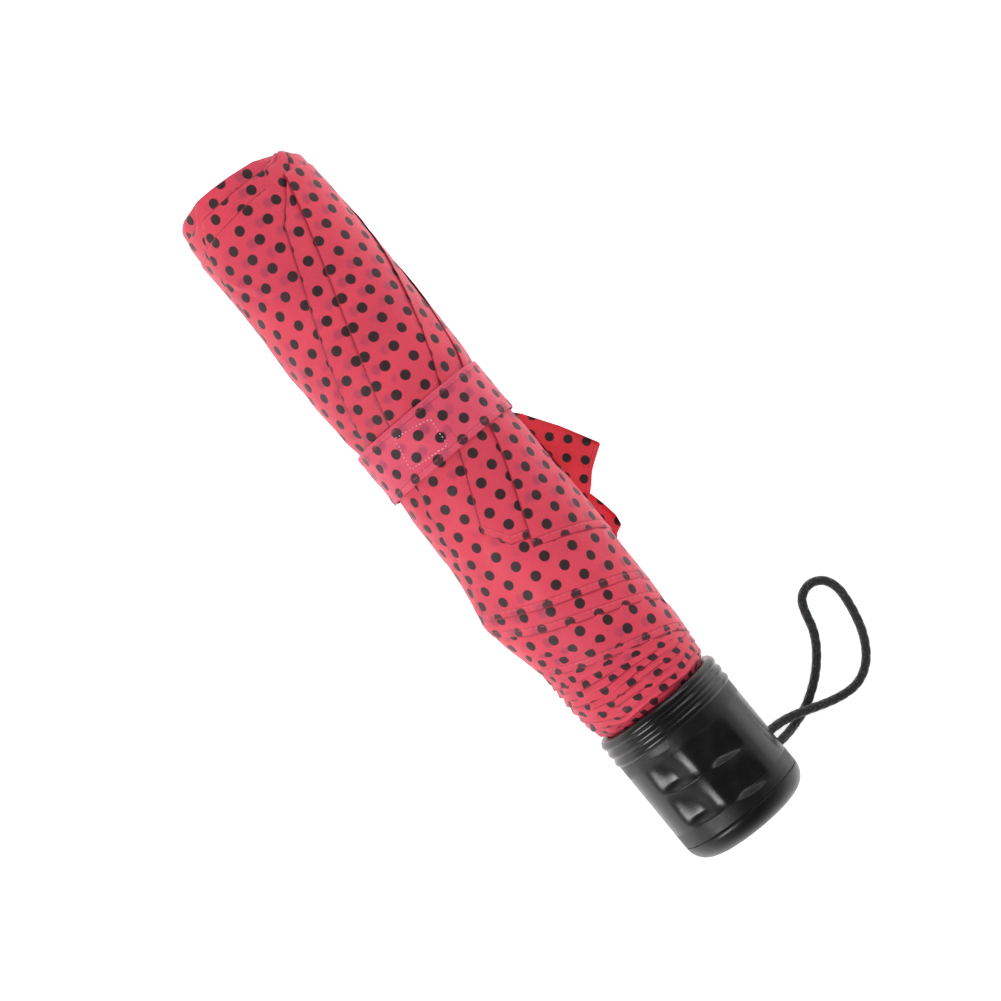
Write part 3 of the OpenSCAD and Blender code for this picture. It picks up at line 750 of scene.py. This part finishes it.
def band(name, from_a, to_a, closed):
    """A doubled strip of cloth round the bundle, with a turned hem along both edges and soft waves in it."""
    steps = int(abs(to_a - from_a) * 180 / math.pi / 1.2) + 1
    a = np.linspace(from_a, to_a, steps, endpoint=not closed)
    width = STRAP_HIGH - STRAP_LOW
    outer_t = np.array([0.0, 0.12, 0.5, 1.4, STRAP_HEM - 0.25, STRAP_HEM, STRAP_HEM + 0.3, 4.5, 6.5, 8.8])
    t = np.concatenate([outer_t, width - outer_t[::-1][1:]])
    hem_step = -0.13 * smooth((np.minimum(t, width - t) - STRAP_HEM + 0.25) / 0.5)
    hem_step -= 0.16 * (1 - smooth(np.minimum(t, width - t) / 0.25))
    t_loop = np.concatenate([t, t[::-1]])
    out_loop = np.concatenate([hem_step, np.full(len(t), -STRAP_T)])
    grid_a, grid_t = a[:, None], t_loop[None]
    sway = 0.35 * np.sin(grid_a + 0.9) + 0.15 * np.sin(grid_a * 3)
    slack = 0.34 * np.exp(-(grid_t / 2.2) ** 2) * np.clip(np.cos(grid_a - 2.0), 0, 1) ** 2
    rho = STRAP_R + out_loop[None] + strap_wave(grid_a, grid_t) + slack
    if not closed:
        rho = rho + tab_lift(grid_a) + 0.45 * smooth(1 - (to_a - grid_a) * CLOTH_R / 3)
    s = STRAP_LOW + grid_t + sway
    points = lie_on_table(at_shaft(grid_a, rho, s))
    cloth = np.stack([MM * np.broadcast_to(grid_a * CLOTH_R + 1.2, s.shape),
                      MM * np.broadcast_to(grid_t + 3.1, s.shape)], -1)
    to_hem = np.minimum(grid_t, width - grid_t)
    hem = np.stack([MM * np.broadcast_to(to_hem + 0.4, s.shape), NO_FOLD + 0 * s], -1)
    rows, columns = s.shape
    faces = grid_faces(rows, columns, closed=True)
    if closed:
        faces += [(i + (rows - 1) * columns, (i + 1) % columns + (rows - 1) * columns, (i + 1) % columns, i)
                  for i in range(columns)]
    else:
        faces += [tuple(range(columns))[::-1], tuple(range((rows - 1) * columns, rows * columns))]
    return make_mesh(name, points, faces, {"cloth": cloth, "hem": hem})


def stitch_row(corners):
    """Small rounded thread dashes on the tab, along lines between corners of (mm of arc, mm of height)."""
    rng = np.random.default_rng(8)
    points, faces = [], []
    for (x0, y0), (x1, y1) in zip(corners, corners[1:]):
        far = math.hypot(x1 - x0, y1 - y0)
        way = np.array([x1 - x0, y1 - y0]) / far
        side = np.array([-way[1], way[0]])
        for d in np.arange(0.6, far, 1.15):
            start = len(points)
            length = rng.uniform(0.3, 0.75)
            sway = rng.uniform(-0.14, 0.14)
            for e, half, height in STITCH_SHAPE:
                for f in (-1, 0, 1):
                    x, y = np.array([x0, y0]) + way * (d + e * length) + side * (half * f + sway)
                    a = x / CLOTH_R
                    rise = STRAP_R + tab_lift(a) + 0.02 + height * (1 - 0.6 * abs(f)) + strap_wave(a, y)
                    points.append(at_shaft(a, rise, STRAP_LOW + y))
            faces += grid_faces(len(STITCH_SHAPE), 3, start=start)
    return make_mesh("strap_stitches", np.array(points), faces)


def make_strap():
    """The band of the tie strap, its free end and the stitched square on that."""
    strap = band("tie_strap_band", 0, 2 * math.pi, True)
    finish_piece(strap, "crown", "strap_cloth", STRAP, "tie_strap")
    gather_up(strap)
    tab = band("strap_free_end", TAB_FROM, TAB_TO, False)
    finish_piece(tab, "strap_tab", "strap_cloth", STRAP, "strap_tab")
    gather_up(tab)
    middle = math.radians(103.5) * CLOTH_R
    box = [(middle + 5.1, 14.4), (middle - 6.4, 12.1), (middle - 5.6, 3.0), (middle + 7.2, 4.3),
           (middle + 5.1, 14.4)]
    stitches = stitch_row(box)
    finish_piece(stitches, "strap_tab", "strap_cloth", THREAD)
    gather_up(stitches)


make_strap()

# ---------------------------------------------------------------- loose corners of two flaps

def along_line(line, share):
    """The point at each share of the length of a line, which is a list of (mm right, mm above the end)."""
    line = np.array(line, float)
    along = np.concatenate([[0], np.cumsum(np.linalg.norm(np.diff(line, axis=0), axis=1))])
    return np.stack([np.interp(share * along[-1], along, line[:, k]) for k in range(2)], -1)


def loose_corner(name, fold, hem_line, z_root, z_tip, seed):
    """Two plies of a gore's corner that hang out beside the bundle, between its fold and its hem."""
    n, m = 30, 20
    i, k = np.meshgrid(np.linspace(0, 0.985, n), np.linspace(0, 1, m), indexing="ij")
    flat = along_line(hem_line, i) * (1 - k)[..., None] + along_line(fold, i) * k[..., None]
    p, s = flat[..., 0], flat[..., 1]
    wave = 0.8 * np.sin(k * 4.4 + i * 1.5 + seed) * i + 0.35 * np.sin(k * 9 + i * 4 + seed) * (1 - i)
    z = z_root + (z_tip - z_root) * i + wave
    both, maps, hems = [], [], []
    width = np.linalg.norm(along_line(fold, i) - along_line(hem_line, i), axis=-1)
    for ply in (0, 1):
        close = np.minimum(smooth((1 - k) / 0.12), smooth((1 - i) / 0.08))
        both.append(beside(p, s, z - 0.5 * ply * close))
        maps.append(np.stack([MM * (1.15 * p + 40 * ply + 2.2), MM * 1.1 * s], -1))
        hems.append(np.stack([MM * (k * width + 0.6), MM * ((1 - k) * width + 0.2)], -1))
    faces = grid_faces(n, m) + [f[::-1] for f in grid_faces(n, m, start=n * m)]
    piece = make_mesh(name, np.concatenate([b.reshape(-1, 3) for b in both]), faces,
                      {"cloth": np.concatenate([u.reshape(-1, 2) for u in maps]),
                       "hem": np.concatenate([h.reshape(-1, 2) for h in hems])})
    # The loose corners take the redder copy of the cloth.
    finish_piece(piece, "crown", "canopy_cloth", REDDER_CLOTH)
    return piece


corner_a = loose_corner("loose_corner_upper", [(19.0, 143), (23.4, 138.5), (30.2, 128.1), (36.5, 116.3)],
                        [(19.0, 104), (24.4, 106.6), (26.5, 108.6), (29.1, 111.4), (32.1, 113.5),
                         (36.5, 116.3)], 14.5, 11.5, 0.4)
corner_b = loose_corner("loose_corner_lower",
                        [(20.0, 111), (24.4, 106.3), (25.5, 101.4), (26.2, 96.5), (25.6, 93.2)],
                        [(20.0, 89), (23.1, 92.1), (25.6, 93.2)], 15.0, 13.5, 2.0)
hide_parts("loose_corners")
for corner in (corner_a, corner_b):
    gather_up(corner)

# ---------------------------------------------------------------- gathered cloth round the top notch

FUNNEL_IN_R = 7.8
FUNNEL_OUT_R = 19.2
FUNNEL_S = 240.4
FUNNEL_FOLDS = 8


def top_end_folds():
    """The middle of the canopy, drawn in round the shaft's top: a funnel of twisted folds."""
    turns, steps = 240, 16
    a = (np.arange(turns) * 2 * math.pi / turns)[None]
    t = np.linspace(0, 1, steps)[:, None]
    rho = FUNNEL_IN_R + (FUNNEL_OUT_R - FUNNEL_IN_R) * t
    twist = a + 0.5 * t
    fold = np.sin(FUNNEL_FOLDS * twist + 0.6 * np.sin(3 * a))
    s = FUNNEL_S + 3.0 * smooth(t / 0.2) - 3.0 * smooth((t - 0.5) / 0.5) + 1.6 * t * (1.15 - t) * fold
    rho = rho + 0.5 * t * np.cos(FUNNEL_FOLDS * twist)
    points = at_shaft(a, rho, s)
    cloth = np.stack([MM * np.broadcast_to(a * 14, s.shape), MM * (rho * 1.4 + s)], -1)
    hem = np.full(s.shape + (2,), NO_FOLD)
    piece = grid_piece("top_end_folds", points, {"cloth": cloth, "hem": hem}, closed=True)
    finish_piece(piece, "crown", "canopy_cloth", CLOTH)
    gather_up(piece)
    return piece


end_folds = top_end_folds()

# ---------------------------------------------------------------- opened canopy

JOINTS = {j["name"]: j for j in frame["joints"]}
FOLLOWS = {c["joint"]: c["ratio"] for c in frame["record"]["behaviour"]["couplings"]}
OPEN_TRAVEL = JOINTS["canopy_open"]["range_m"][1]
RIB_COUNT = 8
RIB_STEP = 2 * math.pi / RIB_COUNT
RIB_1 = RIB_STEP / 2
# The opened cloth's pleats at rest: how far beside rib 1 they start, and how wide they are
PLEAT_FROM = 0.05
PLEAT_WIDTH = 0.5
# How far the opened cloth lies over and past the ribs' hinges, and over their elbows besides
CLOTH_OVER_RIB = 1.7
CLOTH_PAST_RIB = 0.9
ELBOW_LIFT = 1.2
# The hem's curve between two ribs, as a share of the outer zone, and the cloth's sag there
SCALLOP = 0.10
SAG = 2.2
SAG_SPAN = 420.0
# Each gore's first column starts this angle past its rib, so that the cloth's print can start anew there
SEAM = 0.0005
GORE_COLUMNS = 15
ZONE_OVERLAP = 0.7
NO_HEM = 50
HALF_TURN = math.radians(179.5)


def open_motion(*names):
    """The motion of a body when the canopy is open, from the hinges between it and the crown."""
    total = Matrix.Identity(4)
    for name in names:
        joint = JOINTS[name]
        pivot = Matrix.Translation(joint["pos_m"])
        angle = FOLLOWS[name] * OPEN_TRAVEL
        total = total @ pivot @ Matrix.Rotation(angle, 4, Vector(joint["axis"])) @ pivot.inverted()
    return total


def in_plane(point):
    """A point as (mm out from the axis, mm above the handle's end), in the plane of rib 1."""
    x = (point[0] - AXIS_X) / MM
    z = (point[2] - AXIS_Z) / MM
    return np.array([x * math.cos(RIB_1) + z * math.sin(RIB_1), (point[1] - END_Y) / MM])


def open_zone(zone, motion, corners, inner, outer, rows):
    """Both halves of one zone of the opened canopy. corners is the canopy's line in the plane of a rib.

    inner and outer give the zone's ends, as lengths along that line, for a place from 0 at a rib to 1 midway
    to the next. At rest each half is a narrow pleat beside rib 1.
    """
    back = motion.inverted()
    across = np.array([-math.sin(RIB_1), 0, math.cos(RIB_1)])
    outward = np.array([math.cos(RIB_1), 0, math.sin(RIB_1)])
    lengths = np.concatenate([[0], np.cumsum(np.linalg.norm(np.diff(corners, axis=0), axis=1))])
    made = []
    for side, way in (("left", 1), ("right", -1)):
        half = range(RIB_COUNT // 2)
        phi = np.concatenate([gore * RIB_STEP + np.linspace(SEAM if gore else 0, RIB_STEP, GORE_COLUMNS)
                              for gore in half])
        phi = np.append(phi, math.pi + 3 * SEAM)[None]
        in_gore = np.tile(np.linspace(-RIB_STEP / 2, RIB_STEP / 2, GORE_COLUMNS), len(half))
        in_gore = np.append(in_gore, RIB_STEP / 2)[None]
        middle = 1 - (in_gore / (RIB_STEP / 2)) ** 2
        t = np.linspace(0, 1, rows)[:, None]
        line = inner(middle) + (outer(middle) - inner(middle)) * t
        r = np.interp(line, lengths, corners[:, 0]) * math.cos(RIB_STEP / 2) / np.cos(in_gore)
        sag = SAG * middle * np.sin(math.pi * np.clip(r / SAG_SPAN, 0, 1))
        s = np.interp(line, lengths, corners[:, 1]) - sag
        r, s, phi = np.broadcast_arrays(r, s, phi)
        d = np.full(r.shape, PLEAT_FROM)
        for _ in range(4):
            w = np.clip((phi - np.arctan2(d, r)) / HALF_TURN, 0, 1)
            u = 0.5 - np.sin(np.arcsin(1 - 2 * w) / 3)
            d = PLEAT_FROM + PLEAT_WIDTH * u
        d = np.maximum(d, r * np.tan(np.maximum(phi - HALF_TURN, 0)))
        off_axis = r[..., None] * outward + way * d[..., None] * across + s[..., None] * np.array([0, 1, 0])
        spread = np.array([AXIS_X, END_Y, AXIS_Z]) + MM * off_axis
        rest = spread.reshape(-1, 3) @ np.array(back.to_3x3()).T + np.array(back.translation)
        lateral = r * np.tan(in_gore) * math.cos(RIB_STEP / 2)
        cloth = np.stack([MM * lateral, MM * np.broadcast_to(line, r.shape)], -1)
        to_edge = outer(middle) - line if zone == "outer" else NO_HEM + 0 * line
        hem = np.stack([MM * np.broadcast_to(to_edge, r.shape), NO_FOLD + 0 * r], -1)
        piece = make_mesh(f"opened_{zone}_{side}", rest, grid_faces(*r.shape), {"cloth": cloth, "hem": hem})
        piece.data.materials.append(CLOTH)
        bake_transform(piece)
        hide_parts(f"{zone}_pleat_{side}")
        made.append(piece)
    return made


def opened_canopy():
    """The opened canopy in three zones, each between two of the ribs' hinges."""
    top = open_motion("top_rib_1_swing")
    middle = open_motion("top_rib_1_swing", "middle_rib_1_swing")
    outer = open_motion("top_rib_1_swing", "middle_rib_1_swing", "outer_rib_1_swing")
    notch = in_plane(JOINTS["top_rib_1_swing"]["pos_m"]) + np.array([1.2, 0.4])
    knee = in_plane(top @ Vector(JOINTS["middle_rib_1_swing"]["pos_m"]))
    elbow = in_plane(middle @ Vector(JOINTS["outer_rib_1_swing"]["pos_m"]))
    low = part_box("outer_rib_1")[0]
    tip = in_plane(outer @ Vector(at_shaft(RIB_1, 12.1, (low.y - END_Y) / MM + 0.6)))
    corners = np.array([notch, knee, elbow, tip]) + np.array([0, CLOTH_OVER_RIB])
    corners[1:, 0] += CLOTH_PAST_RIB
    corners[2, 1] += ELBOW_LIFT
    to_knee, to_elbow, to_tip = np.cumsum(np.linalg.norm(np.diff(corners, axis=0), axis=1))
    way_in, way_out = (np.diff(corners, axis=0) / np.diff([0, to_knee, to_elbow, to_tip])[:, None])[1:]
    # Between two ribs the middle and outer zones part in the plane that halves the elbow's angle
    bevel = -(way_in[1] + way_out[1]) / (way_in[0] + way_out[0])
    chord = math.cos(RIB_STEP / 2)
    drift = (elbow[0] * (1 - chord) - SAG * bevel) / (chord * way_out[0] - way_out[1] * bevel)
    found = open_zone("top", top, corners, lambda m: 0 * m, lambda m: to_knee + ZONE_OVERLAP + 0 * m, 12)
    found += open_zone("middle", middle, corners, lambda m: to_knee + 0 * m,
                       lambda m: to_elbow + drift * m + ZONE_OVERLAP, 16)
    found += open_zone("outer", outer, corners, lambda m: to_elbow + drift * m,
                       lambda m: to_tip - SCALLOP * (to_tip - to_elbow) * m, 20)
    return found


opened = opened_canopy()
for index, gore in enumerate(gores):
    gather_up(gore)

# ---------------------------------------------------------------- floor and lights

FLOOR_HALF = 30.0


def make_floor():
    """A plain pale floor."""
    corners = [(-FLOOR_HALF, -FLOOR_HALF, 0), (FLOOR_HALF, -FLOOR_HALF, 0), (FLOOR_HALF, FLOOR_HALF, 0),
               (-FLOOR_HALF, FLOOR_HALF, 0)]
    floor = make_mesh("floor", corners, [(0, 1, 2, 3)])
    shader = Shader("floor_white", Roughness=0.9)
    shade = shader.noise(shader.object_place(), 3.0, 2.0)
    colour = shader.mix(shade, (0.90, 0.90, 0.90, 1), (0.92, 0.92, 0.92, 1))
    shader.feed(shader.main.inputs["Base Color"], colour)
    shader.main.inputs["Emission Color"].default_value = (1, 1, 1, 1)
    shader.main.inputs["Emission Strength"].default_value = 0.68
    floor.data.materials.append(shader.material)
    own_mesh(floor)


def area_light(name, place, size, power, mirrored=True):
    """A lamp aimed at the umbrella's middle. Where not mirrored, shiny parts do not show it."""
    light = bpy.data.lights.new(name, "AREA")
    light.shape = "RECTANGLE"
    light.size, light.size_y = size
    light.energy = power
    lamp = bpy.data.objects.new(name, light)
    bpy.context.scene.collection.objects.link(lamp)
    lamp.location = place
    lamp.rotation_mode = "QUATERNION"
    lamp.rotation_quaternion = (Vector((AXIS_X, 0, 0)) - Vector(place)).to_track_quat("-Z", "Y")
    lamp.visible_glossy = mirrored


def make_lights():
    """A white studio that dims upwards, with a narrow key, a wide fill from above and a strip at the top."""
    world = bpy.data.worlds.new("studio")
    bpy.context.scene.world = world
    world.use_nodes = True
    nodes, links = world.node_tree.nodes, world.node_tree.links
    height = nodes.new("ShaderNodeSeparateXYZ")
    links.new(nodes.new("ShaderNodeTexCoord").outputs["Generated"], height.inputs[0])
    dimming = nodes.new("ShaderNodeMapRange")
    dimming.interpolation_type = "SMOOTHSTEP"
    links.new(height.outputs["Z"], dimming.inputs["Value"])
    for socket, value in (("From Min", 0.02), ("From Max", 0.75), ("To Min", 0.66), ("To Max", 0.07)):
        dimming.inputs[socket].default_value = value
    background = nodes["Background"]
    background.inputs["Color"].default_value = (1, 1, 1, 1)
    links.new(dimming.outputs["Result"], background.inputs["Strength"])
    area_light("key", (-0.74, -0.20, 0.72), (0.24, 0.52), 4.7)
    area_light("fill", (0.32, 0.0, 1.0), (1.2, 1.2), 5.7, mirrored=False)
    area_light("end", (0.40, 0.80, 0.60), (1.2, 0.22), 2.4)
    bpy.context.scene.view_settings.view_transform = "Standard"


make_floor()
make_lights()

# ---------------------------------------------------------------- CAD nodes that stay

FINISH = {"tube_steel": TUBE, "spring_steel": SPRING, "rib_steel": RIB, "inner_plastic": NYLON,
          "cord_braid": CORD, "canopy_cloth": CLOTH, "strap_cloth": STRAP, "handle_plastic": BLACK,
          "end_cap_plastic": CAP_BLACK}
for subpart in frame["record"]["subparts"]:
    kept = NODES[subpart["node"]]
    kept.data.materials.clear()
    kept.data.materials.append(FINISH[subpart["material_slot"]])
